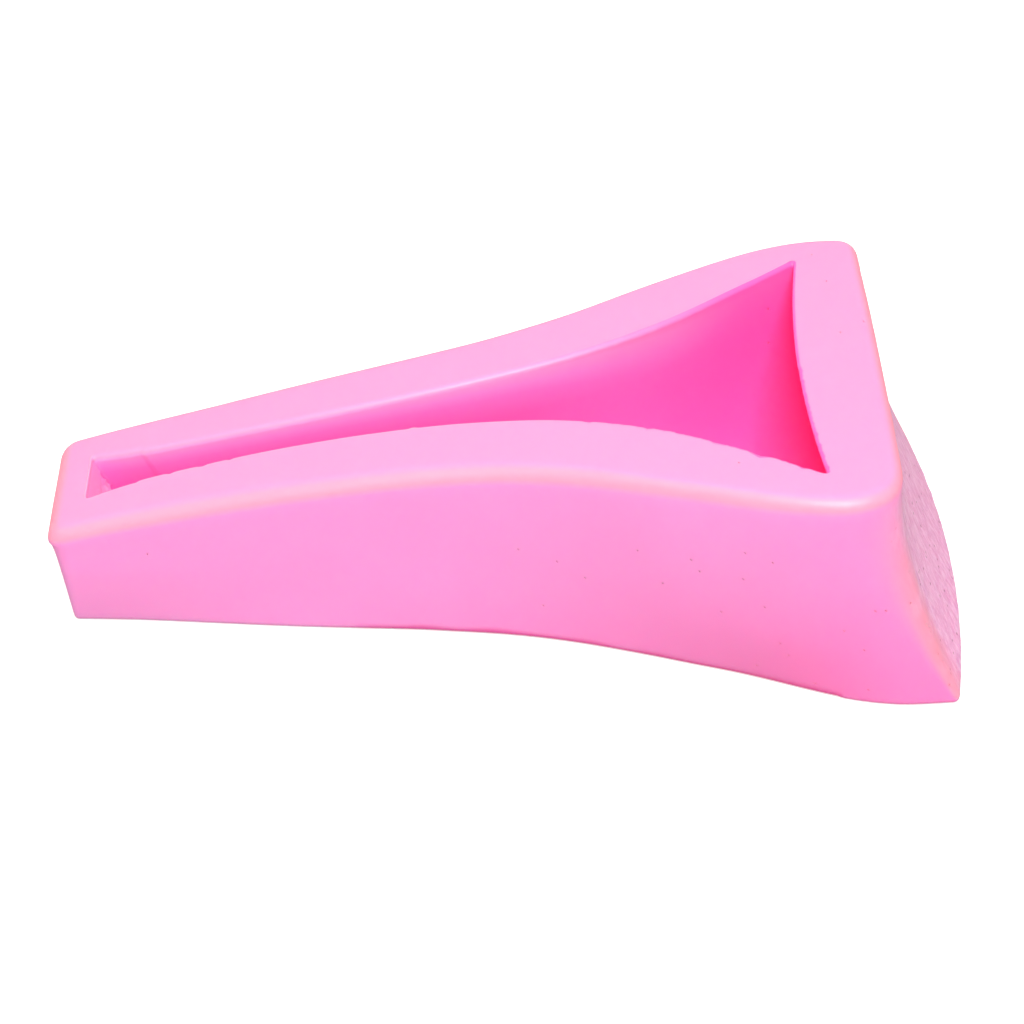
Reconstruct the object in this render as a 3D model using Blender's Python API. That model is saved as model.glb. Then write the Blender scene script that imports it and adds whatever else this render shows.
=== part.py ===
"""Casting mould for a stiletto shoe heel: one open-topped block of silicone rubber.

The cavity is the negative of a heel that lies on its back. The heel's narrow tip
points to -X, its wide seat to +X, and its breast, the side under the shoe's arch,
is the open top. The block is mirror-symmetric about the XZ plane, apart from its
seat end, which stands a little out of square and has one rounder corner.
Metres, +Z up. Origin: the middle of the block's length and width, on its flat base.
"""

import math

import bmesh
import bpy

# Rim, the open top. It climbs from the tip to the seat and bows up in between.
RIM_TIP_Z = 0.0182
RIM_SEAT_Z = 0.0400
RIM_BOW = 0.0037
RIM_EDGE_RADIUS = 0.0028

# Block, outside: the places of its two end walls at the rim and at the base.
TIP_END_RIM_X = -0.0715
TIP_END_BASE_X = -0.0690
SEAT_END_RIM_X = 0.0572
SEAT_END_BASE_X = 0.0715
SEAT_END_BULGE_RIM = 0.0003
SEAT_END_BULGE_BASE = 0.0034
SEAT_SKEW = 0.0009
TIP_END_HOLLOW = 0.6
SEAT_END_HOLLOW = 1.25
WALL_DRAFT = 0.0004
BASE_EDGE_RADIUS = 0.0005

# Upright corners in plan. They are sharper at the base than at the rim, and the
# seat's front corner (-Y) is rounder than its back one.
BASE_CORNER_RADIUS = 0.0011
TIP_CORNER_RADIUS = 0.0033
SEAT_FRONT_CORNER_RADIUS = 0.0090
SEAT_BACK_CORNER_RADIUS = 0.0042

# Cavity: the heel is 111 mm long at its breast, and deeper at its seat.
HEEL_TIP_X = -0.0657
HEEL_SEAT_X = 0.0460
HEEL_TIP_SLANT = math.tan(math.radians(26))
HEEL_SEAT_SLANT = math.tan(math.radians(20))
HEEL_SEAT_CUP = 0.0019
HEEL_TIP_DEPTH = 0.0110
HEEL_SEAT_DEPTH = 0.0335
HEEL_WAIST_RISE = 0.0030
HEEL_SECTION_POWER = 2.6
HEEL_CORNER_RADIUS = 0.0008

# Half-widths along the block, as (share of the length from tip to seat, half-width).
BLOCK_HALF_WIDTHS = (
    (0.00, 0.0126),
    (0.12, 0.0132),
    (0.31, 0.0148),
    (0.51, 0.0177),
    (0.62, 0.0214),
    (0.74, 0.0276),
    (0.86, 0.0336),
    (0.93, 0.0355),
    (1.00, 0.0353),
)
HEEL_HALF_WIDTHS = (
    (0.00, 0.0050),
    (0.06, 0.0039),
    (0.15, 0.0034),
    (0.27, 0.0033),
    (0.40, 0.0039),
    (0.53, 0.0053),
    (0.67, 0.0083),
    (0.80, 0.0138),
    (0.93, 0.0227),
    (1.00, 0.0281),
)

# Facets of the outlines and of the rounded stretches. The cavity's outlines stop just
# short of the lowest line of its floor, where they are closed by a narrow flat strip.
SIDE_STEPS = 26
END_STEPS = 4
CORNER_STEPS = 3
WALL_STEPS = 4
EDGE_STEPS = 4
CAVITY_STEPS = 8
CAVITY_LAST_ANGLE = math.radians(84)
SHARP_ANGLE = math.radians(40)

# Platinum-cure silicone rubber, pigmented pink, with a soft satin skin.
SILICONE_COLOUR = (0.98, 0.36, 0.68, 1.0)
SILICONE_ROUGHNESS = 0.5


def smooth(stations, share):
    """Half-width at a share of the length, on a smooth curve through the stations."""
    last = len(stations) - 1
    i = min(max(sum(s <= share for s, _ in stations) - 1, 0), last - 1)

    def slope(k):
        (s0, w0), (s1, w1) = stations[max(k - 1, 0)], stations[min(k + 1, last)]
        return (w1 - w0) / (s1 - s0)

    (s0, w0), (s1, w1) = stations[i], stations[i + 1]
    span = s1 - s0
    t = (share - s0) / span
    bend0, bend1 = slope(i) * span, slope(i + 1) * span
    rise = w1 - w0
    return w0 + t * (bend0 + t * ((3 * rise - 2 * bend0 - bend1) + t * (bend0 + bend1 - 2 * rise)))


def bow(share):
    """Height of a shallow arch over a length, from 0 at both ends to 1 in the middle."""
    return 4 * share * (1 - share)


def rim_height(x):
    """Height of the rim's top face, the same right across the block."""
    share = (x - TIP_END_RIM_X) / (SEAT_END_RIM_X - TIP_END_RIM_X)
    return RIM_TIP_Z + (RIM_SEAT_Z - RIM_TIP_Z) * share + RIM_BOW * bow(share)


def corner(start, point, end):
    """Points of a rounded corner, between its start and its end."""
    steps = [k / CORNER_STEPS for k in range(1, CORNER_STEPS)]
    return [
        tuple((1 - t) ** 2 * a + 2 * t * (1 - t) * b + t * t * c for a, b, c in zip(start, point, end))
        for t in steps
    ]


def half_outline(tip_x, seat_x, half_width, seat_bulge, seat_skew, tip_radius, seat_radius):
    """Front half of a plan outline, from the middle of the tip to the middle of the seat.

    half_width is a function of the share of the length. The seat end bulges outwards
    by seat_bulge at its middle, and its corner lies seat_skew further in than its middle.
    """
    length = seat_x - tip_x
    tip_half, seat_half = half_width(0), half_width(1)
    seat_corner_x = seat_x - seat_bulge - seat_skew

    def side(share):
        return tip_x + (seat_corner_x - tip_x) * share, -half_width(share)

    def seat(across):
        return seat_x - seat_bulge * across**2 - seat_skew * across, -seat_half * across

    first = tip_radius / length
    last = 1 - seat_radius / length
    tip_flat = 1 - tip_radius / tip_half
    seat_flat = 1 - seat_radius / seat_half
    points = [(tip_x, -tip_half * tip_flat * k / END_STEPS) for k in range(END_STEPS + 1)]
    points += corner(points[-1], (tip_x, -tip_half), side(first))
    points += [side(first + (last - first) * k / SIDE_STEPS) for k in range(SIDE_STEPS + 1)]
    points += corner(side(last), (seat_corner_x, -seat_half), seat(seat_flat))
    points += [seat(seat_flat * k / END_STEPS) for k in range(END_STEPS, -1, -1)]
    return points


def outline(shape, tip_radius, front_radius, back_radius):
    """Closed plan outline: the front half from tip to seat, then the back half from seat to tip.

    shape holds the first four arguments of half_outline.
    """
    front = half_outline(*shape, SEAT_SKEW, tip_radius, front_radius)
    back = half_outline(*shape, -SEAT_SKEW, tip_radius, back_radius)
    return front + [(x, -y) for x, y in back[-2:0:-1]]


def between(low, high, level):
    """Value at a level from 0, which gives low, to 1, which gives high."""
    return low + (high - low) * level


def block_ring(level, inset, drop):
    """Outline of the block at a level from 0, the base, to 1, the rim, as (x, y, z) points.

    inset moves it in, and drop is how far the level-1 outline lies under the rim's face.
    The tip's end wall goes in fast below the rim, then runs down upright, and the seat's
    starts off steep below the rim and leans out more and more towards the base.
    """
    narrowing = inset + WALL_DRAFT * (1 - level)
    shape = (
        between(TIP_END_RIM_X, TIP_END_BASE_X, (1 - level) ** TIP_END_HOLLOW) + inset,
        between(SEAT_END_RIM_X, SEAT_END_BASE_X, (1 - level) ** SEAT_END_HOLLOW) - inset,
        lambda share: smooth(BLOCK_HALF_WIDTHS, share) - narrowing,
        between(SEAT_END_BULGE_BASE, SEAT_END_BULGE_RIM, level),
    )
    rim_radii = (TIP_CORNER_RADIUS, SEAT_FRONT_CORNER_RADIUS, SEAT_BACK_CORNER_RADIUS)
    radii = [between(BASE_CORNER_RADIUS, radius, level) - inset for radius in rim_radii]
    return [(x, y, level * (rim_height(x) - drop)) for x, y in outline(shape, *radii)]


def cavity_ring(angle):
    """Outline of the cavity, from the rim at angle 0 down to the floor at 90 degrees."""
    spread = math.cos(angle) ** (2 / HEEL_SECTION_POWER)
    sunk = math.sin(angle) ** (2 / HEEL_SECTION_POWER)
    tip_x = HEEL_TIP_X + HEEL_TIP_SLANT * HEEL_TIP_DEPTH * sunk
    seat_x = HEEL_SEAT_X + HEEL_SEAT_SLANT * HEEL_SEAT_DEPTH * sunk
    shape = (
        tip_x,
        seat_x - HEEL_SEAT_CUP,
        lambda share: smooth(HEEL_HALF_WIDTHS, share) * spread,
        -HEEL_SEAT_CUP,
    )
    points = outline(shape, *[HEEL_CORNER_RADIUS * spread] * 3)

    def height(x):
        share = (x - tip_x) / (seat_x - tip_x)
        depth = HEEL_TIP_DEPTH + (HEEL_SEAT_DEPTH - HEEL_TIP_DEPTH) * share
        depth -= HEEL_WAIST_RISE * bow(share)
        opening_x = HEEL_TIP_X + (HEEL_SEAT_X - HEEL_TIP_X) * share
        return rim_height(opening_x) - depth * sunk

    return [(x, y, height(x)) for x, y in points]


def mould_rings():
    """All outlines in the order of the skin: up the outside, over the rim, down the cavity."""
    base = [(x, y, 0.0) for x, y, _ in block_ring(0, BASE_EDGE_RADIUS, 0)]
    foot = [(x, y, BASE_EDGE_RADIUS) for x, y, _ in block_ring(0, 0, 0)]
    walls = []
    for k in range(1, WALL_STEPS + 1):
        walls.append(block_ring(k / WALL_STEPS, 0, RIM_EDGE_RADIUS))
    edge = []
    for k in range(1, EDGE_STEPS + 1):
        angle = math.radians(90) * k / EDGE_STEPS
        inset = RIM_EDGE_RADIUS * (1 - math.cos(angle))
        edge.append(block_ring(1, inset, RIM_EDGE_RADIUS * (1 - math.sin(angle))))
    cavity = [cavity_ring(CAVITY_LAST_ANGLE * k / CAVITY_STEPS) for k in range(CAVITY_STEPS + 1)]
    return [base, foot] + walls + edge + cavity


def close_across(mesh, ring):
    """Closes an outline with strips from its front half to its back half."""
    count = len(ring)
    half = count // 2
    for k in range(half):
        corners = (ring[k], ring[k + 1], ring[(count - k - 1) % count], ring[(count - k) % count])
        mesh.faces.new(list(dict.fromkeys(corners)))


def silicone():
    material = bpy.data.materials.new("silicone_pink")
    material.use_nodes = True
    shader = material.node_tree.nodes["Principled BSDF"]
    shader.inputs["Base Color"].default_value = SILICONE_COLOUR
    shader.inputs["Roughness"].default_value = SILICONE_ROUGHNESS
    shader.inputs["Metallic"].default_value = 0.0
    return material


def mould_body():
    """The whole mould: one continuous skin through all the outlines."""
    mesh = bmesh.new()
    rings = [[mesh.verts.new(point) for point in ring] for ring in mould_rings()]
    for lower, upper in zip(rings, rings[1:]):
        count = len(lower)
        for k in range(count):
            after = (k + 1) % count
            mesh.faces.new((lower[k], lower[after], upper[after], upper[k]))
    close_across(mesh, rings[0])
    close_across(mesh, rings[-1])
    bmesh.ops.recalc_face_normals(mesh, faces=mesh.faces)
    bmesh.ops.triangulate(mesh, faces=mesh.faces)
    data = bpy.data.meshes.new("mould_body")
    mesh.to_mesh(data)
    mesh.free()
    data.shade_smooth()
    data.set_sharp_from_angle(angle=SHARP_ANGLE)
    data.materials.append(silicone())
    body = bpy.data.objects.new("mould_body", data)
    bpy.context.scene.collection.objects.link(body)
    return body


for old in list(bpy.data.objects):
    bpy.data.objects.remove(old)

mould_body()
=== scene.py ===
import math
import random

import bmesh
import bpy
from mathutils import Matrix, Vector, noise
from mathutils.kdtree import KDTree


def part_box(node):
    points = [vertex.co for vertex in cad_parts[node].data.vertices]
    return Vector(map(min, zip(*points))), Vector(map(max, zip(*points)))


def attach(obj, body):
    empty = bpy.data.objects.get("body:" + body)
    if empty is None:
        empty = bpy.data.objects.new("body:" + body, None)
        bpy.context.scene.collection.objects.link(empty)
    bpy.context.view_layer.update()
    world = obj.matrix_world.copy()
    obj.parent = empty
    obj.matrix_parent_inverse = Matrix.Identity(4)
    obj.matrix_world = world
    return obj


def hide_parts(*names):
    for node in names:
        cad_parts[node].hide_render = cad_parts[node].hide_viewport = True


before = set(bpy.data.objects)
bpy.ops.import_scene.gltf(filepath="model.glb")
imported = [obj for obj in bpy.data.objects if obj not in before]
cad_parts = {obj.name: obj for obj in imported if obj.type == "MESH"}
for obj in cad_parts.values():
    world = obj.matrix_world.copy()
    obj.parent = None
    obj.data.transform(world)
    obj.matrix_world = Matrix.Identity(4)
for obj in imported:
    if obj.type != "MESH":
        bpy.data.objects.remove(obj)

bpy.ops.object.select_all(action="DESELECT")
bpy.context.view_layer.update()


# ---------------------------------------------------------------------------
# Mould body: one block of pink silicone rubber, poured in one go around a stiletto
# heel that lies on its back, in a form that follows the heel's outline. The open top
# is the heel's breast, the narrow end its tip and the wide, leaning end its seat.
# ---------------------------------------------------------------------------

low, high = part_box("mould_body")
TIP_END_X = low[0]
SEAT_END_X = high[0]

# Rim: it climbs from tip to seat and bows up in between.
RIM_TIP_Z = 0.0182
RIM_SEAT_Z = 0.0400
RIM_BOW = 0.0037
RIM_END_X = 0.0572
RIM_EDGE_RADIUS = 0.0027
RIM_EDGE_RADIUS_AT_ENDS = 0.0023

# End walls. The tip's goes in fast below the rim; the seat's leans out to the base.
TIP_BASE_X = -0.0690
TIP_HOLLOW = 0.6
SEAT_HOLLOW = 1.58
SEAT_BULGE_RIM = 0.0003
SEAT_BULGE_BASE = 0.0034
SEAT_SKEW = 0.0009
WALL_DRAFT = 0.0004
BASE_EDGE_RADIUS = 0.0007

# Upright corners in plan, at the rim and at the base.
BASE_CORNER_RADIUS = 0.0011
TIP_CORNER_RADIUS = 0.0033
SEAT_FRONT_CORNER_RADIUS = 0.0090
SEAT_BACK_CORNER_RADIUS = 0.0042

# Cavity, the negative of the heel.
HEEL_TIP_X = -0.0657
HEEL_SEAT_X = 0.0460
HEEL_TIP_SLANT = math.tan(math.radians(26))
HEEL_SEAT_SLANT = math.tan(math.radians(20))
HEEL_SEAT_CUP = 0.0019
HEEL_TIP_DEPTH = 0.0110
HEEL_SEAT_DEPTH = 0.0335
HEEL_WAIST_RISE = 0.0030
HEEL_SECTION_POWER = 2.6
HEEL_CORNER_RADIUS = 0.0008
TOP_PIECE_LENGTH = 0.0085
TOP_PIECE_STEP = 0.0003
TIP_WALL_RAGGED = 0.0007

# Inner edge of the rim: crisp in front, where it was trimmed with a blade, and soft behind.
FRONT_LIP_RADIUS = 0.00008
BACK_LIP_RADIUS = 0.0009
END_LIP_RADIUS = 0.00025
SERRATION = 0.00026

# Slips of the blade on the front edge, as (x, depth, half length). Below 0 it left rubber.
NICKS = (
    (-0.0526, 0.00045, 0.0005),
    (-0.0476, 0.00050, 0.0006),
    (-0.0432, 0.00040, 0.0004),
    (-0.0148, -0.00030, 0.0005),
    (0.0116, 0.00035, 0.0005),
    (0.0204, 0.00040, 0.0005),
    (0.0300, 0.00025, 0.0007),
    (0.0362, 0.00060, 0.0009),
    (0.0419, 0.00050, 0.0005),
)

# Foot of the walls: over this length it is turned under in a wavy roll.
ROLL_START_X = -0.036
ROLL_FULL_X = -0.014
ROLL_END_X = 0.0495
ROLL_HEIGHT = 0.0019
ROLL_INSET = 0.0005

# The foot draws in a little on both sides, near the tip and where the mould flares.
TUCK = 0.0014
TUCK_HEIGHT = 0.012
TUCK_END_X = -0.030
FLARE_TUCK_X = 0.036
FLARE_TUCK_REACH = 0.013

# Half-widths along the block, as (share of the length from tip to seat, half-width).
BLOCK_HALF_WIDTHS = (
    (0.00, 0.0126),
    (0.12, 0.0132),
    (0.31, 0.0148),
    (0.51, 0.0177),
    (0.62, 0.0214),
    (0.74, 0.0276),
    (0.86, 0.0336),
    (0.93, 0.0355),
    (1.00, 0.0353),
)
HEEL_HALF_WIDTHS = (
    (0.00, 0.0050),
    (0.06, 0.0039),
    (0.15, 0.0034),
    (0.27, 0.0033),
    (0.40, 0.0039),
    (0.53, 0.0053),
    (0.67, 0.0083),
    (0.80, 0.0138),
    (0.93, 0.0227),
    (1.00, 0.0281),
)

# The skin is about 0.6 mm between points, so that nicks and dents are real shape.
SIDE_STEPS = 232
TIP_STEPS = 12
SEAT_STEPS = 40
CORNER_STEPS = 8
WALL_STEPS = 40
EDGE_STEPS = 8
RIM_STEPS = 12
LIP_STEPS = 4
CAVITY_STEPS = 42
BASE_STEPS = 8


def smooth(stations, share):
    """Half-width at a share of the length, on a smooth curve through the stations."""
    last = len(stations) - 1
    i = min(max(sum(s <= share for s, _ in stations) - 1, 0), last - 1)

    def slope(k):
        (s0, w0), (s1, w1) = stations[max(k - 1, 0)], stations[min(k + 1, last)]
        return (w1 - w0) / (s1 - s0)

    (s0, w0), (s1, w1) = stations[i], stations[i + 1]
    span = s1 - s0
    t = (share - s0) / span
    bend0, bend1 = slope(i) * span, slope(i + 1) * span
    rise = w1 - w0
    return w0 + t * (bend0 + t * ((3 * rise - 2 * bend0 - bend1) + t * (bend0 + bend1 - 2 * rise)))


def between(start, end, level):
    return start + (end - start) * level


def hump(value, middle, width):
    """A smooth bump: 1 at its middle, and near 0 from twice its width away."""
    return math.exp(-((value - middle) / width) ** 2)


def ramp(value, start, end):
    """A smooth step from 0 at start to 1 at end."""
    t = min(max((value - start) / (end - start), 0), 1)
    return t * t * (3 - 2 * t)


def grain(x, y, z, size):
    """Smooth noise between about -1 and 1, with lumps of that size in metres."""
    return noise.noise(Vector((x, y, z)) / size)


def rim_height(x):
    share = (x - TIP_END_X) / (RIM_END_X - TIP_END_X)
    return between(RIM_TIP_Z, RIM_SEAT_Z, share) + RIM_BOW * 4 * share * (1 - share)


def edge_radius(x):
    """Rounding of the rim's outer edge: wide along the sides and tighter towards both ends."""
    share = (x - TIP_END_X) / (RIM_END_X - TIP_END_X)
    along_side = ramp(share, 0, 0.2) * (1 - ramp(share, 0.8, 1))
    return between(RIM_EDGE_RADIUS_AT_ENDS, RIM_EDGE_RADIUS, along_side)


def corner(start, point, end):
    """Points of a rounded corner, between its start and its end."""
    turned = []
    for k in range(1, CORNER_STEPS):
        t = k / CORNER_STEPS
        turned.append(tuple(
            (1 - t) ** 2 * a + 2 * t * (1 - t) * b + t * t * c
            for a, b, c in zip(start, point, end)
        ))
    return turned


def half_outline(tip_x, seat_x, half_width, bulge, skew, tip_radius, seat_radius):
    """Front half of a plan outline, from the middle of the tip to the middle of the seat."""
    length = seat_x - tip_x
    tip_half, seat_half = half_width(0), half_width(1)
    seat_corner_x = seat_x - bulge - skew

    def side(share):
        return tip_x + (seat_corner_x - tip_x) * share, -half_width(share)

    def seat(across):
        return seat_x - bulge * across**2 - skew * across, -seat_half * across

    first = tip_radius / length
    last = 1 - seat_radius / length
    tip_flat = 1 - tip_radius / tip_half
    seat_flat = 1 - seat_radius / seat_half
    points = [(tip_x, -tip_half * tip_flat * k / TIP_STEPS) for k in range(TIP_STEPS + 1)]
    points += corner(points[-1], (tip_x, -tip_half), side(first))
    points += [side(first + (last - first) * k / SIDE_STEPS) for k in range(SIDE_STEPS + 1)]
    points += corner(side(last), (seat_corner_x, -seat_half), seat(seat_flat))
    points += [seat(seat_flat * k / SEAT_STEPS) for k in range(SEAT_STEPS, -1, -1)]
    return points


def outline(shape, tip_radius, front_radius, back_radius):
    """Closed plan outline: the front half from tip to seat, then the back half from seat to tip."""
    front = half_outline(*shape, SEAT_SKEW, tip_radius, front_radius)
    back = half_outline(*shape, -SEAT_SKEW, tip_radius, back_radius)
    return front + [(x, -y) for x, y in back[-2:0:-1]]


def block_ring(level, inset, turn=None):
    """Outline of the block at a level from 0, the base, to 1, the rim, as (x, y, z) points.

    turn is the angle reached round the rim's edge: 0 where the wall ends, 90 degrees on top.
    """
    level_length = RIM_END_X - TIP_END_X

    def rounded(x):
        return 0.0 if turn is None else edge_radius(x) * (1 - math.cos(turn))

    def half_width(share):
        narrowing = inset + rounded(TIP_END_X + share * level_length) + WALL_DRAFT * (1 - level)
        return smooth(BLOCK_HALF_WIDTHS, share) - narrowing

    shape = (
        between(TIP_END_X, TIP_BASE_X, (1 - level) ** TIP_HOLLOW) + inset + rounded(TIP_END_X),
        between(RIM_END_X, SEAT_END_X, (1 - level) ** SEAT_HOLLOW) - inset - rounded(RIM_END_X),
        half_width,
        between(SEAT_BULGE_BASE, SEAT_BULGE_RIM, level),
    )
    rim_radii = (TIP_CORNER_RADIUS, SEAT_FRONT_CORNER_RADIUS, SEAT_BACK_CORNER_RADIUS)
    narrower = inset + rounded(TIP_END_X)
    radii = [between(BASE_CORNER_RADIUS, radius, level) - narrower for radius in rim_radii]
    points = []
    for x, y in outline(shape, *radii):
        drop = edge_radius(x) * (1 - math.sin(turn or 0.0))
        points.append((x, y, level * (rim_height(x) - drop)))
    return points


def cavity_ring(angle):
    """Outline of the cavity, from the rim at angle 0 down to the floor at 90 degrees."""
    spread = math.cos(angle) ** (2 / HEEL_SECTION_POWER)
    sunk = math.sin(angle) ** (2 / HEEL_SECTION_POWER)
    tip_x = HEEL_TIP_X + HEEL_TIP_SLANT * HEEL_TIP_DEPTH * sunk
    seat_x = HEEL_SEAT_X + HEEL_SEAT_SLANT * HEEL_SEAT_DEPTH * sunk
    length = seat_x - tip_x

    def half_width(share):
        top_piece = TOP_PIECE_STEP * (1 - ramp(share * length, TOP_PIECE_LENGTH - 0.0005, TOP_PIECE_LENGTH))
        return (smooth(HEEL_HALF_WIDTHS, share) + top_piece) * spread

    shape = (tip_x, seat_x - HEEL_SEAT_CUP, half_width, -HEEL_SEAT_CUP)
    points = outline(shape, *[HEEL_CORNER_RADIUS * spread] * 3)

    def height(x):
        share = (x - tip_x) / length
        depth = between(HEEL_TIP_DEPTH, HEEL_SEAT_DEPTH, share) - HEEL_WAIST_RISE * 4 * share * (1 - share)
        return rim_height(between(HEEL_TIP_X, HEEL_SEAT_X, share)) - depth * sunk

    def ragged(x, y, z):
        near_tip = 1 - ramp(x - tip_x, 0.0, 0.0008)
        return x + near_tip * TIP_WALL_RAGGED * ramp(sunk, 0.1, 0.4) * grain(z, y, z * 2, 0.0011), y, z

    return [ragged(x, y, height(x)) for x, y in points]


def roll(x, y, z):
    """Depth of the roll at the foot of the wall at this point, from 0 to 1."""
    height = ROLL_HEIGHT * (1 + 0.35 * grain(x, y, 0.0, 0.007))
    along = ramp(x, ROLL_START_X, ROLL_FULL_X) * (1 - ramp(x, ROLL_END_X - 0.0004, ROLL_END_X + 0.0004))
    return along * max(0.0, 1 - z / height)


def tucked(x, y, z):
    """A point of the base or wall, moved in where the foot of the wall is turned under or drawn in."""
    inset = ROLL_INSET * (1 - math.sqrt(1 - roll(x, y, z) ** 2))
    along = 1 - ramp(x, TIP_BASE_X, TUCK_END_X) + 0.7 * hump(x, FLARE_TUCK_X, FLARE_TUCK_REACH)
    inset += TUCK * along * max(0.0, 1 - z / TUCK_HEIGHT) ** 1.5
    return x, y - math.copysign(inset, y) * min(1.0, abs(y) / 0.006), z


def nicked(x, y):
    """How far the blade cut into the front edge of the rim at this point."""
    if y > -0.001:
        return 0.0
    cut = sum(depth * hump(x, middle, half) for middle, depth, half in NICKS)
    return cut + SERRATION * ramp(x, 0.005, 0.025) * (0.5 + grain(x, y, 0.0, 0.0009))


def lip_rings(opening):
    """The rounding between the rim and the cavity, ring by ring from the rim inwards."""
    rings = [[] for _ in range(LIP_STEPS + 1)]
    for k, (x, y, z) in enumerate(opening):
        before, after = opening[k - 1], opening[(k + 1) % len(opening)]
        along = Vector((after[0] - before[0], after[1] - before[1])).normalized()
        out = Vector((along.y, -along.x))
        radius = between(FRONT_LIP_RADIUS, BACK_LIP_RADIUS, ramp(y, 0.0005, 0.002))
        radius = between(radius, END_LIP_RADIUS, out.x**2)
        for j, ring in enumerate(rings):
            turn = math.radians(90) * j / LIP_STEPS
            reach = radius * (1 - math.sin(turn)) + nicked(x, y) * (1 - 0.5 * j / LIP_STEPS)
            ring.append((x + out.x * reach, y + out.y * reach, z - radius * (1 - math.cos(turn))))
    return rings


def all_rings():
    """Every outline of the skin: from the middle of the base out, up, over the rim and down inside."""
    base = [(x, y, 0.0) for x, y, _ in block_ring(0, BASE_EDGE_RADIUS)]
    rings = []
    for k in range(BASE_STEPS + 1):
        share = k / BASE_STEPS
        rings.append([(x * between(0.8, 1, share), y * share, 0.0) for x, y, _ in base])
    for k in range(1, 4):
        angle = math.radians(90) * k / 3
        inset = BASE_EDGE_RADIUS * (1 - math.sin(angle))
        rings.append([(x, y, BASE_EDGE_RADIUS * (1 - math.cos(angle))) for x, y, _ in block_ring(0, inset)])
    for k in range(1, WALL_STEPS + 1):
        level = (k / WALL_STEPS) ** 1.35
        ring = block_ring(level, 0)
        rings.append([(x, y, z + BASE_EDGE_RADIUS * (1 - level)) for x, y, z in ring])
    rings = [[tucked(*point) for point in ring] for ring in rings]
    for k in range(1, EDGE_STEPS + 1):
        rings.append(block_ring(1, 0, math.radians(90) * k / EDGE_STEPS))
    outer = rings[-1]
    lip = lip_rings(cavity_ring(0))
    for k in range(1, RIM_STEPS):
        share = 1 - (1 - k / RIM_STEPS) ** 1.4
        ring = [(between(a[0], b[0], share), between(a[1], b[1], share)) for a, b in zip(outer, lip[0])]
        rings.append([(x, y, rim_height(x)) for x, y in ring])
    rings += lip
    for k in range(1, CAVITY_STEPS + 1):
        ring = cavity_ring(math.radians(90) * (k / CAVITY_STEPS) ** 1.6)
        fade = 0.5 * max(0.0, 1 - k / 4)
        above = 1 - math.sin(math.radians(90) * (k / CAVITY_STEPS) ** 1.6) ** (2 / HEEL_SECTION_POWER)
        rings.append([
            (x, y - fade * nicked(x, y), z - above * (top[2] - edge[2]))
            for (x, y, z), top, edge in zip(ring, lip[0], lip[-1])
        ])
    return rings


rings = all_rings()

# The outline is drawn as a circle, given its shape, and extruded from ring to ring. Each
# point keeps its number round the ring, because an extruded point takes its source's.
MERGE_WITHIN = 0.00002
bpy.ops.mesh.primitive_circle_add(vertices=len(rings[0]), radius=0.05, fill_type="NOTHING")
mould = bpy.context.object
mould.name = "mould_silicone"
mould.data.name = "mould_silicone"
for name in ("number", "ring"):
    mould.data.attributes.new(name, "INT", "POINT")
for k, item in enumerate(mould.data.attributes["number"].data):
    item.value = k
bpy.ops.object.mode_set(mode="EDIT")
for k, ring in enumerate(rings):
    if k:
        bpy.ops.mesh.extrude_edges_move()
    skin = bmesh.from_edit_mesh(mould.data)
    number_layer = skin.verts.layers.int["number"]
    ring_layer = skin.verts.layers.int["ring"]
    for vert in skin.verts:
        if vert.select:
            vert.co = ring[vert[number_layer]]
            vert[ring_layer] = k
bpy.ops.mesh.select_all(action="SELECT")
bpy.ops.mesh.remove_doubles(threshold=MERGE_WITHIN)
bpy.ops.mesh.normals_make_consistent(inside=False)
bpy.ops.mesh.select_all(action="DESELECT")
bpy.ops.object.mode_set(mode="OBJECT")

# Marks on the skin, each from 0 to 1, that the rubber's shader reads: "torn" is the seat end,
# torn off the form's end board, "inner" grows with depth below the cavity's lip and sets the
# cavity's painted shade, "deep" is painted shade, in the cavity and low on the outer walls,
# "glow" is a painted red glow, an emission that stands in for light come through the walls,
# "under" is the roll at the foot, painted darker as shade, and "crown" leans up and "open"
# faces straight up, both painted in a warmer tone that offsets the main light's shine.
MARKS = ("torn", "inner", "painted_shade", "glow", "under", "crown", "open")
WAVINESS = 0.00007
WAVE_LENGTH = 0.014
STREAK_DEPTH = 0.00009
STREAK_LENGTHS = (0.006, 0.0018)
# Cavity's painted shade: how far it may darken the tip's end wall, and the depth where it is full.
TIP_WALL_DEPTH_SHOWN = 0.14
DEPTH_OF_FULL_SHADE = 0.008
DEPTH_OF_FULL_SHADE_AT_TIP = 0.0066
# Strength of the painted shade and of the painted glow on the outer walls.
PAINTED_SHADE_OUTSIDE = 0.3
GLOW_OUTSIDE = 0.8


def cavity_marks(x, depth, at_tip):
    """inner, deep and glow inside the cavity: painted shade, darker with depth and towards the wide
    end, and a painted red glow deep in the wide end.
    """
    full = between(DEPTH_OF_FULL_SHADE_AT_TIP, DEPTH_OF_FULL_SHADE, ramp(x, -0.030, 0.0))
    below = min(1.0, max(0.0, depth) / full)
    below *= 1 - 0.5 * ramp(x, -0.005, 0.030)
    inner = min(below, TIP_WALL_DEPTH_SHOWN) if at_tip else below
    at_lip = between(0.60, 0.88, ramp(x, 0.024, 0.040))
    sunk = ramp(x, -0.005, 0.038) * between(at_lip, 1, ramp(depth, 0.001, 0.012))
    painted_shade = sunk - 0.1 * ramp(x, 0.030, 0.045) * ramp(depth, 0.008, 0.020)
    glow = ramp(x, 0.028, 0.052) * ramp(depth, 0.001, 0.010)
    return inner, painted_shade, glow


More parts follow.
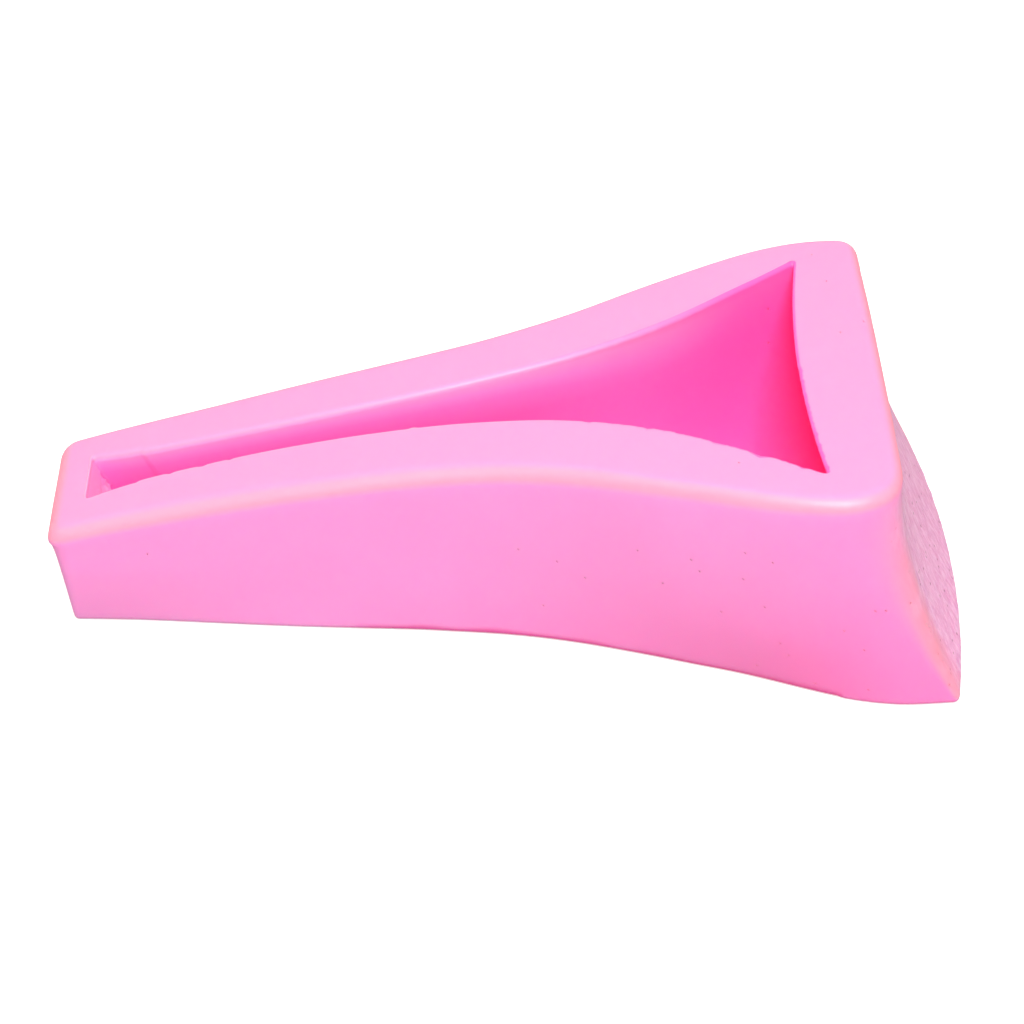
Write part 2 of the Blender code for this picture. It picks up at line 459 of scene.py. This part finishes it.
def torn_mark(x, y, z, depth, facing):
    """torn on the seat end: it stops short of the block's upright edges and of the rim."""
    near_edge = ramp(high[1] - abs(y) + 0.002 * grain(x, y, z, 0.004), 0.0005, 0.009)
    below_rim = ramp(depth - 0.0015 + 0.0015 * grain(x, y, z, 0.003), 0.0, 0.002)
    return ramp(facing.x, 0.45, 0.75) * near_edge * below_rim if x > 0.05 else 0.0


def shade_outside(x, z, depth, facing):
    """Painted shade on the outer walls: at the foot of the flare, lighter along the foot, and just below
    the rim at the wide end; none where the walls turn to face the seat end.
    """
    shade = ramp(x, -0.010, 0.038) * (1 - 0.35 * ramp(x, 0.045, 0.060)) * (1 - ramp(z, 0.001, 0.027))
    shade += 0.35 * (1 - ramp(z, 0.001, 0.012)) * ramp(x, -0.030, 0.0) * (1 - ramp(x, 0.0, 0.030))
    shade += 0.40 * ramp(x, 0.030, 0.050) * ramp(depth, 0.001, 0.004)
    return shade * (1 - ramp(facing.x, 0.2, 0.6))


first_lip_ring = len(rings) - CAVITY_STEPS - LIP_STEPS - 1
numbers = [item.value for item in mould.data.attributes["number"].data]
ring_numbers = [item.value for item in mould.data.attributes["ring"].data]
normals = [vert.normal.copy() for vert in mould.data.vertices]
marks = []
for vert, facing, number, ring in zip(mould.data.vertices, normals, numbers, ring_numbers):
    x, y, z = vert.co
    depth = rim_height(min(x, RIM_END_X)) - z
    if ring >= first_lip_ring:
        at_tip = min(number, len(rings[0]) - number) <= TIP_STEPS + 1
        torn, under = 0.0, 0.0
        inner, painted_shade, glow = cavity_marks(x, depth, at_tip)
    else:
        torn = torn_mark(x, y, z, depth, facing)
        under = ramp(roll(x, y, z), 0.15, 0.6)
        # Painted shade and painted glow on the outer walls.
        shade = shade_outside(x, z, depth, facing)
        inner = 0.0
        painted_shade = min(1.0, PAINTED_SHADE_OUTSIDE * shade) * (1 - torn)
        glow = min(1.0, GLOW_OUTSIDE * shade) * (1 - torn)
    # Up-facing skin gets the painted lit tone of the pink.
    crown = ramp(facing.z, -0.05, 0.4)
    facing_up = ramp(facing.z, 0.78, 0.99)
    marks.append((torn, inner, painted_shade, glow, under, crown, facing_up))

    # The skin itself: low waves where the form was smooth, upright streaks where it was torn.
    waves = grain(x, y, z, WAVE_LENGTH) if z > 0.0005 else 0.0
    streak = grain(0.0, y * 2, z, STREAK_LENGTHS[0]) + 0.5 * grain(x, y * 2, z, STREAK_LENGTHS[1])
    moved = vert.co + facing * (WAVINESS * waves * (1 - torn) + STREAK_DEPTH * torn * (streak - 0.5))
    vert.co = [min(max(value, least), most) for value, least, most in zip(moved, low, high)]
for name, values in zip(MARKS, zip(*marks)):
    mould.data.attributes.new(name, "FLOAT", "POINT").data.foreach_set("value", values)


# Pinholes, left by air bubbles at the skin, each at the point of the skin nearest to here.
RIM_PINHOLES = (
    (0.0514, 0.0224),
    (0.0516, 0.0073),
    (0.0498, 0.0301),
    (0.0556, 0.0100),
    (0.0330, -0.0235),
)
CAVITY_PINHOLES = (
    (0.0420, 0.0230, 0.0270),
    (0.0425, 0.0240, 0.0330),
)
BUBBLES_IN_WALLS = 60
BUBBLES_IN_BASE = 24
PINHOLE_SIZE = 0.00026
PINHOLE_DEPTH = 0.0003
PINHOLE_RIM = PINHOLE_SIZE / 5

chance = random.Random(7)
wanted = [Vector((x, y, rim_height(x))) for x, y in RIM_PINHOLES]
wanted += [Vector(point) for point in CAVITY_PINHOLES]
for _ in range(BUBBLES_IN_WALLS):
    x = TIP_END_X + (SEAT_END_X - TIP_END_X) * (1 - 0.93 * chance.random() ** 1.7)
    side = chance.choice((-1, 1))
    wanted.append(Vector((x, side * high[1], chance.uniform(0.002, 0.7) * RIM_SEAT_Z)))
for _ in range(BUBBLES_IN_BASE):
    x = chance.uniform(low[0], high[0]) * 0.9
    wanted.append(Vector((x, chance.uniform(-0.3, 0.3) * (x - low[0]), 0.0)))
tree = KDTree(len(mould.data.vertices))
for vert in mould.data.vertices:
    tree.insert(vert.co, vert.index)
tree.balance()
for point in wanted:
    mould.data.vertices[tree.find(point)[1]].select = True
bpy.ops.object.mode_set(mode="EDIT")
bpy.ops.mesh.bevel(offset=PINHOLE_SIZE, affect="VERTICES", segments=2)
bpy.ops.mesh.inset(thickness=PINHOLE_RIM, depth=-PINHOLE_DEPTH, use_individual=True)
skin = bmesh.from_edit_mesh(mould.data)
pinhole_layer = skin.verts.layers.float.new("pinhole")
for vert in skin.verts:
    if vert.select:
        vert[pinhole_layer] = 1.0
bpy.ops.object.mode_set(mode="OBJECT")
SHARP_EDGE = math.radians(38)
bpy.ops.object.shade_smooth_by_angle(angle=SHARP_EDGE)


# The rubber: pigmented platinum-cure silicone. It is soft and lets light in about a
# millimetre, so edges glow, and its skin is satin where the form was smooth.

def linear(colour):
    """An sRGB hex colour as the linear values that a shader takes."""
    values = [int(colour[i:i + 2], 16) / 255 for i in (0, 2, 4)]
    return [v / 12.92 if v <= 0.04045 else ((v + 0.055) / 1.055) ** 2.4 for v in values] + [1.0]


def add(material, kind, inputs=(), **settings):
    """Adds a node with its settings. inputs gives each input, by name or number, a value or a
    socket to link. In a colour Mix, 6 and 7 are the two colours and output 2 is the result.
    """
    node = material.node_tree.nodes.new(kind)
    for name, value in settings.items():
        setattr(node, name, value)
    for name, value in dict(inputs).items():
        if isinstance(value, bpy.types.NodeSocket):
            material.node_tree.links.new(value, node.inputs[name])
        else:
            node.inputs[name].default_value = value
    return node


rubber = bpy.data.materials.new("silicone_rubber_satin_pink")
rubber.use_nodes = True
rubber.node_tree.nodes.clear()
place = add(rubber, "ShaderNodeTexCoord").outputs["Object"]
torn_skin = add(rubber, "ShaderNodeAttribute", attribute_name="torn").outputs["Fac"]
inner_rubber = add(rubber, "ShaderNodeAttribute", attribute_name="inner").outputs["Fac"]
painted_shade_fac = add(rubber, "ShaderNodeAttribute", attribute_name="painted_shade").outputs["Fac"]

# The pigment is stirred in by hand, so its strength drifts a little over 15 mm (scale 65).
drift = add(rubber, "ShaderNodeTexNoise", {"Vector": place, "Scale": 65.0, "Detail": 2.0})
pigment = add(rubber, "ShaderNodeMix", {
    "Factor": drift.outputs["Fac"],
    6: linear("FD96E0"),
    7: linear("FF9BE5"),
}, data_type="RGBA")

# The rim and its rounded edge, which face up, are painted a warmer, less blue pink than the walls:
# a lit tone that offsets the main light's shine there.
lit_tone_edge = add(rubber, "ShaderNodeMix", {
    "Factor": add(rubber, "ShaderNodeAttribute", attribute_name="crown").outputs["Fac"],
    6: pigment.outputs[2],
    7: linear("FE97BC"),
}, data_type="RGBA")
lit_tone_top = add(rubber, "ShaderNodeMix", {
    "Factor": add(rubber, "ShaderNodeAttribute", attribute_name="open").outputs["Fac"],
    6: lit_tone_edge.outputs[2],
    7: linear("FE94CC"),
}, data_type="RGBA")

# Painted light and shade inside the cavity: a lighter band just below the lip, where light from the
# front falls, then darker and redder on the way down, as shade and light bounced from wall to wall.
painted_depth_shade = add(rubber, "ShaderNodeValToRGB", {"Fac": inner_rubber})
stops = (
    (0.0, "FE94CC"),
    (0.05, "FF8EC0"),
    (0.12, "FF9AD6"),
    (0.3, "FF8CDA"),
    (0.5, "FF76CE"),
    (0.75, "FF69C2"),
    (1.0, "FF5EB8"),
)
while len(painted_depth_shade.color_ramp.elements) < len(stops):
    painted_depth_shade.color_ramp.elements.new(1.0)
for stop, (position, shade_of_pink) in zip(painted_depth_shade.color_ramp.elements, stops):
    stop.position = position
    stop.color = linear(shade_of_pink)
in_cavity = add(rubber, "ShaderNodeMath", {0: inner_rubber, 1: 0.001}, operation="GREATER_THAN")
inside = add(rubber, "ShaderNodeMix", {
    "Factor": in_cavity.outputs["Value"],
    6: lit_tone_top.outputs[2],
    7: painted_depth_shade.outputs["Color"],
}, data_type="RGBA")

# Painted shade: in the cavity's wide end and low on the outer walls, on the turned-under foot
# and in the bottoms of the pinholes.
painted_shade_mix = add(rubber, "ShaderNodeMix", {
    "Factor": painted_shade_fac,
    6: inside.outputs[2],
    7: linear("FF56B8"),
}, data_type="RGBA")
# Painted shade on the roll at the foot.
painted_roll_shade = add(rubber, "ShaderNodeMix", {
    "Factor": add(rubber, "ShaderNodeAttribute", attribute_name="under").outputs["Fac"],
    6: painted_shade_mix.outputs[2],
    7: linear("F260BC"),
}, data_type="RGBA")
# Painted shade in the bottoms of the pinholes.
painted_pinhole_shade = add(rubber, "ShaderNodeMix", {
    "Factor": add(rubber, "ShaderNodeAttribute", attribute_name="pinhole").outputs["Fac"],
    6: painted_roll_shade.outputs[2],
    7: linear("A83C7C"),
}, data_type="RGBA")

# Torn skin: fine upright streaks 1 mm apart (scale 900), paler than the rubber, and dark pits
# on two of five cells of 1.6 mm (scale 620).
stretched = add(rubber, "ShaderNodeMapping", {"Vector": place, "Scale": (1.0, 1.0, 0.35)})
streaks = add(rubber, "ShaderNodeTexNoise", {
    "Vector": stretched.outputs["Vector"],
    "Scale": 900.0,
    "Detail": 4.0,
    "Roughness": 0.65,
})
contrast = add(rubber, "ShaderNodeMapRange", {
    "Value": streaks.outputs["Fac"],
    "From Min": 0.36,
    "From Max": 0.64,
})
pale = add(rubber, "ShaderNodeMix", {
    "Factor": contrast.outputs["Result"],
    6: linear("E79AD9"),
    7: linear("FABEF2"),
}, data_type="RGBA")
cells = add(rubber, "ShaderNodeTexVoronoi", {"Vector": place, "Scale": 620.0, "Randomness": 1.0})
pits = add(rubber, "ShaderNodeMapRange", {
    "Value": cells.outputs["Distance"],
    "From Min": 0.06,
    "From Max": 0.20,
    "To Min": 1.0,
    "To Max": 0.0,
})
few = add(rubber, "ShaderNodeMapRange", {
    "Value": add(rubber, "ShaderNodeSeparateColor", {"Color": cells.outputs["Color"]}).outputs["Red"],
    "From Min": 0.60,
    "From Max": 0.66,
})
pitted = add(rubber, "ShaderNodeMath", {
    0: pits.outputs["Result"],
    1: few.outputs["Result"],
}, operation="MULTIPLY")
spotted = add(rubber, "ShaderNodeMix", {
    "Factor": pitted.outputs["Value"],
    6: pale.outputs[2],
    7: linear("93507A"),
}, data_type="RGBA")
colour = add(rubber, "ShaderNodeMix", {
    "Factor": torn_skin,
    6: painted_pinhole_shade.outputs[2],
    7: spotted.outputs[2],
}, data_type="RGBA")

# Finish: satin where the form was smooth and matt where it was torn. The skin's own grain is
# finer than shows, so it is drawn at 0.7 mm (scale 1400).
finish = add(rubber, "ShaderNodeMapRange", {"Value": torn_skin, "To Min": 0.44, "To Max": 0.7})
fine = add(rubber, "ShaderNodeTexNoise", {"Vector": place, "Scale": 1400.0, "Detail": 3.0})
skin_grain = add(rubber, "ShaderNodeBump", {
    "Height": fine.outputs["Fac"],
    "Strength": 0.12,
    "Distance": 0.0001,
})
relief = add(rubber, "ShaderNodeMath", {
    0: streaks.outputs["Fac"],
    1: pitted.outputs["Value"],
}, operation="SUBTRACT")
torn_relief = add(rubber, "ShaderNodeMath", {
    0: relief.outputs["Value"],
    1: torn_skin,
}, operation="MULTIPLY")
torn_grain = add(rubber, "ShaderNodeBump", {
    "Height": torn_relief.outputs["Value"],
    "Strength": 0.7,
    "Distance": 0.0003,
    "Normal": skin_grain.outputs["Normal"],
})

# Painted glow: a red emission, at most a tenth of white, that stands in for light come through the walls.
GLOW = 0.10
painted_glow = add(rubber, "ShaderNodeMath", {
    0: add(rubber, "ShaderNodeAttribute", attribute_name="glow").outputs["Fac"],
    1: GLOW,
}, operation="MULTIPLY")
shader = add(rubber, "ShaderNodeBsdfPrincipled", {
    "Base Color": colour.outputs[2],
    "Roughness": finish.outputs["Result"],
    "IOR": 1.41,
    "Specular IOR Level": 0.8,
    "Subsurface Weight": 0.8,
    "Subsurface Radius": (1.0, 0.6, 0.75),
    "Subsurface Scale": 0.0028,
    "Emission Color": linear("FF0A3C"),
    "Emission Strength": painted_glow.outputs["Value"],
    "Normal": torn_grain.outputs["Normal"],
})
add(rubber, "ShaderNodeOutputMaterial", {"Surface": shader.outputs["BSDF"]})
mould.data.materials.append(rubber)

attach(mould, "root")
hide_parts("mould_body")


# ---------------------------------------------------------------------------
# Table: a plain sheet of opal acrylic that the mould stands on. It is lit from below, so
# the mould throws almost no shadow on it.
# ---------------------------------------------------------------------------

TABLE_SIZE = 3.0
TABLE_GAP = 0.0002
bpy.ops.mesh.primitive_plane_add(size=TABLE_SIZE, location=(0, 0, low[2] - TABLE_GAP))
table = bpy.context.object
table.name = "table"
opal = bpy.data.materials.new("opal_acrylic_lit_from_below")
opal.use_nodes = True
opal.node_tree.nodes.clear()
sheet = add(opal, "ShaderNodeBsdfPrincipled", {
    "Base Color": linear("F0F0F0"),
    "Roughness": 0.9,
    "Emission Color": linear("FFFFFF"),
    "Emission Strength": 0.35,
})
add(opal, "ShaderNodeOutputMaterial", {"Surface": sheet.outputs["BSDF"]})
table.data.materials.append(opal)

# Its light and its bounce stay off the rubber, whose walls they would wash out.
table.visible_diffuse = False
table.visible_glossy = False


# ---------------------------------------------------------------------------
# Studio: a white tent with one soft box above the lens and two weak ones behind and to
# the left, and a long lens that looks down on the mould.
# ---------------------------------------------------------------------------

def aim(obj, position, target):
    obj.location = position
    obj.rotation_euler = (Vector(target) - Vector(position)).to_track_quat("-Z", "Y").to_euler()


WARM_WHITE = (1.0, 0.93, 0.80)
TENT_STRENGTH = 0.54
LIGHT_DISTANCE = 0.8

tent = bpy.data.worlds.new("white_tent")
tent.use_nodes = True
tent.node_tree.nodes["Background"].inputs["Color"].default_value = (*WARM_WHITE, 1)
tent.node_tree.nodes["Background"].inputs["Strength"].default_value = TENT_STRENGTH
bpy.context.scene.world = tent

middle = Vector((low[0] + high[0], low[1] + high[1], low[2] + high[2])) / 2


def soft_box(name, azimuth, elevation, size, power, shine=True):
    """A square light turned to the mould. Azimuth 0 is behind it and 180 is the camera's side."""
    light = bpy.data.lights.new(name, "AREA")
    light.shape = "SQUARE"
    light.size = size
    light.energy = power
    light.color = WARM_WHITE
    box = bpy.data.objects.new(name, light)
    box.visible_glossy = shine
    bpy.context.scene.collection.objects.link(box)
    turn, rise = math.radians(azimuth), math.radians(elevation)
    away = Vector((math.sin(turn) * math.cos(rise), math.cos(turn) * math.cos(rise), math.sin(rise)))
    aim(box, middle + away * LIGHT_DISTANCE, middle)


soft_box("main_soft_box", 177, 54, 0.32, 8.4)
soft_box("back_soft_box", 345, 28, 0.5, 1.8, shine=False)
soft_box("left_soft_box", 265, 50, 0.6, 0.9)

CAMERA_AZIMUTH = math.radians(1.9)
CAMERA_ELEVATION = math.radians(38)
CAMERA_DISTANCE = 0.400
LENS = 91.4
target = middle + Vector((0.0001, -0.0104, -0.0004))
forward = Vector((
    math.sin(CAMERA_AZIMUTH) * math.cos(CAMERA_ELEVATION),
    math.cos(CAMERA_AZIMUTH) * math.cos(CAMERA_ELEVATION),
    -math.sin(CAMERA_ELEVATION),
))
camera = bpy.data.objects.new("camera", bpy.data.cameras.new("camera"))
camera.data.lens = LENS
camera.data.sensor_width = 36
camera.data.clip_start = 0.01
bpy.context.scene.collection.objects.link(camera)
aim(camera, target - forward * CAMERA_DISTANCE, target)
bpy.context.scene.camera = camera
bpy.context.scene.view_settings.view_transform = "Standard"
